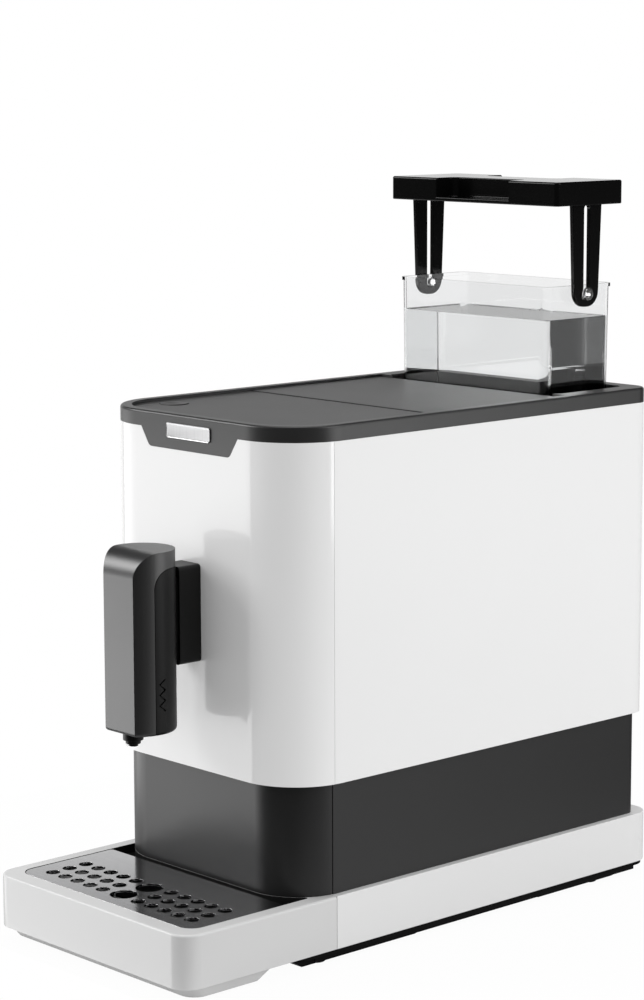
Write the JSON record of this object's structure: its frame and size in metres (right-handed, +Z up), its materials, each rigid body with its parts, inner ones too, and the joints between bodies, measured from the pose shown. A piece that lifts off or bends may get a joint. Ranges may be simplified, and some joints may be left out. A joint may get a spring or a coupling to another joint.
{
  "type": "bean-to-cup coffee machine",
  "caption": "Slim upright espresso machine with front spout, drip tray drawer, bean hopper under a top lid and a rear water tank lifted by its handle.",
  "frame": {"origin": "middle of the footprint, on the table", "axes": "+X right as seen from the front, -Y is the front with the spout, +Z up"},
  "size_m": [0.18, 0.4, 0.4525],
  "materials": {
    "white_gloss": "gloss",
    "white_satin": "satin",
    "white_base": "satin",
    "grey_frame": "satin",
    "dark_band": "satin",
    "badge": "satin",
    "black_plastic": "matte",
    "black_gloss": "gloss",
    "spout_grey": "satin",
    "spout_dark": "satin",
    "rubber": "matte",
    "clear": "clear",
    "smoke": "gloss",
    "steel": "brushed",
    "posts": "satin",
    "machine_grey": "satin",
    "nylon": "matte",
    "board": "matte"
  },
  "bodies": {
    "machine": {"base_pan": "black_plastic", "rubber_feet": "rubber", "base_frame": "white_base", "base_screws": "steel", "lower_band": "dark_band", "cord_gland": "black_plastic", "front_shell": "white_gloss", "side_panel_right": "white_satin", "side_panel_left": "white_satin", "rear_panel": "dark_band", "rear_screws": "steel", "top_frame": "grey_frame", "badge_plate": "badge", "inner_deck": "black_plastic", "inner_posts": "posts", "control_panel": "grey_frame", "control_board": "board", "power_board": "board", "tank_well": "black_plastic", "tank_coupler": "black_plastic", "coupler_seal": "rubber", "bean_hopper": "smoke", "coffee_chute": "black_plastic", "grinder_housing": "black_plastic", "grinder_motor": "machine_grey", "brew_frame": "black_plastic", "brew_chamber": "black_plastic", "brew_motor": "machine_grey", "heater_block": "posts", "pump": "machine_grey", "pump_mounts": "rubber", "flow_meter": "black_plastic", "cold_hoses": "rubber", "hot_hoses": "rubber", "spout_bracket": "black_plastic"},
    "drip_drawer": {"drip_tray": "white_base", "drawer_front": "dark_band", "grounds_container": "black_plastic"},
    "drip_grid": {"drip_grid": "steel"},
    "spout": {"spout_cover": "spout_grey", "spout_body": "spout_dark", "spout_nozzles": "spout_dark"},
    "water_tank": {"water_tank": "clear", "tank_filter": "nylon"},
    "tank_valve": {"tank_valve": "rubber"},
    "tank_handle": {"tank_lid": "black_gloss", "lift_arms": "black_gloss"},
    "bean_lid": {"bean_lid": "grey_frame", "bean_lid_seal": "rubber"},
    "power_button": {"power_button": "grey_frame"},
    "ring_burr": {"ring_burr": "steel"},
    "burr": {"burr_gear": "nylon", "cone_burr": "steel"},
    "motor_pinion": {"motor_pinion": "steel"},
    "brew_spindle": {"brew_spindle": "steel"},
    "brew_piston": {"brew_piston": "black_plastic", "piston_seal": "rubber"},
    "flow_impeller": {"flow_impeller": "nylon"}
  },
  "joints": [
    {"name": "drawer_slide", "type": "slide", "parent": "machine", "child": "drip_drawer", "axis": [0, -1, 0], "range_m": [0, 0.15]},
    {"name": "grid_lift", "type": "slide", "parent": "drip_drawer", "child": "drip_grid", "axis": [0, 0, 1], "range_m": [0, 0.06]},
    {"name": "spout_slide", "type": "slide", "parent": "machine", "child": "spout", "axis": [0, 0, 1], "range_m": [-0.015, 0.035]},
    {"name": "tank_lift", "type": "slide", "parent": "machine", "child": "water_tank", "axis": [0, 0, 1], "range_m": [-0.0825, 0.09]},
    {"name": "valve_lift", "type": "slide", "parent": "water_tank", "child": "tank_valve", "axis": [0, 0, 1], "range_m": [0, 0.003], "stiffness_N_per_m": 60, "springref_m": -0.002},
    {"name": "handle_slide", "type": "slide", "parent": "water_tank", "child": "tank_handle", "axis": [0, 0, 1], "range_m": [-0.05, 0]},
    {"name": "bean_lid_lift", "type": "slide", "parent": "machine", "child": "bean_lid", "axis": [0, 0, 1], "range_m": [0, 0.06]},
    {"name": "power_press", "type": "slide", "parent": "machine", "child": "power_button", "axis": [0, 0, -1], "range_m": [0, 0.0015], "stiffness_N_per_m": 400, "springref_m": -0.001},
    {"name": "grind_setting", "type": "hinge", "parent": "machine", "child": "ring_burr", "pos_m": [0, 0.058, 0.23], "axis": [0, 0, 1], "range_deg": [-25, 25]},
    {"name": "burr_spin", "type": "hinge", "parent": "machine", "child": "burr", "pos_m": [0, 0.058, 0.211], "axis": [0, 0, 1], "continuous": true},
    {"name": "pinion_spin", "type": "hinge", "parent": "machine", "child": "motor_pinion", "pos_m": [0, 0.0205, 0.211], "axis": [0, 0, 1], "continuous": true},
    {"name": "spindle_turn", "type": "hinge", "parent": "machine", "child": "brew_spindle", "pos_m": [0.028, -0.05, 0.2], "axis": [0, 0, 1], "range_deg": [0, 1080]},
    {"name": "piston_slide", "type": "slide", "parent": "machine", "child": "brew_piston", "axis": [0, 0, -1], "range_m": [0, 0.036]},
    {"name": "impeller_spin", "type": "hinge", "parent": "machine", "child": "flow_impeller", "pos_m": [-0.04, 0.114, 0.019], "axis": [0, 0, 1], "continuous": true}
  ],
  "couplings": [
    {"joint": "pinion_spin", "follows": "burr_spin", "ratio": -4},
    {"joint": "spindle_turn", "follows": "piston_slide", "rad_per_m": 523.6}
  ]
}
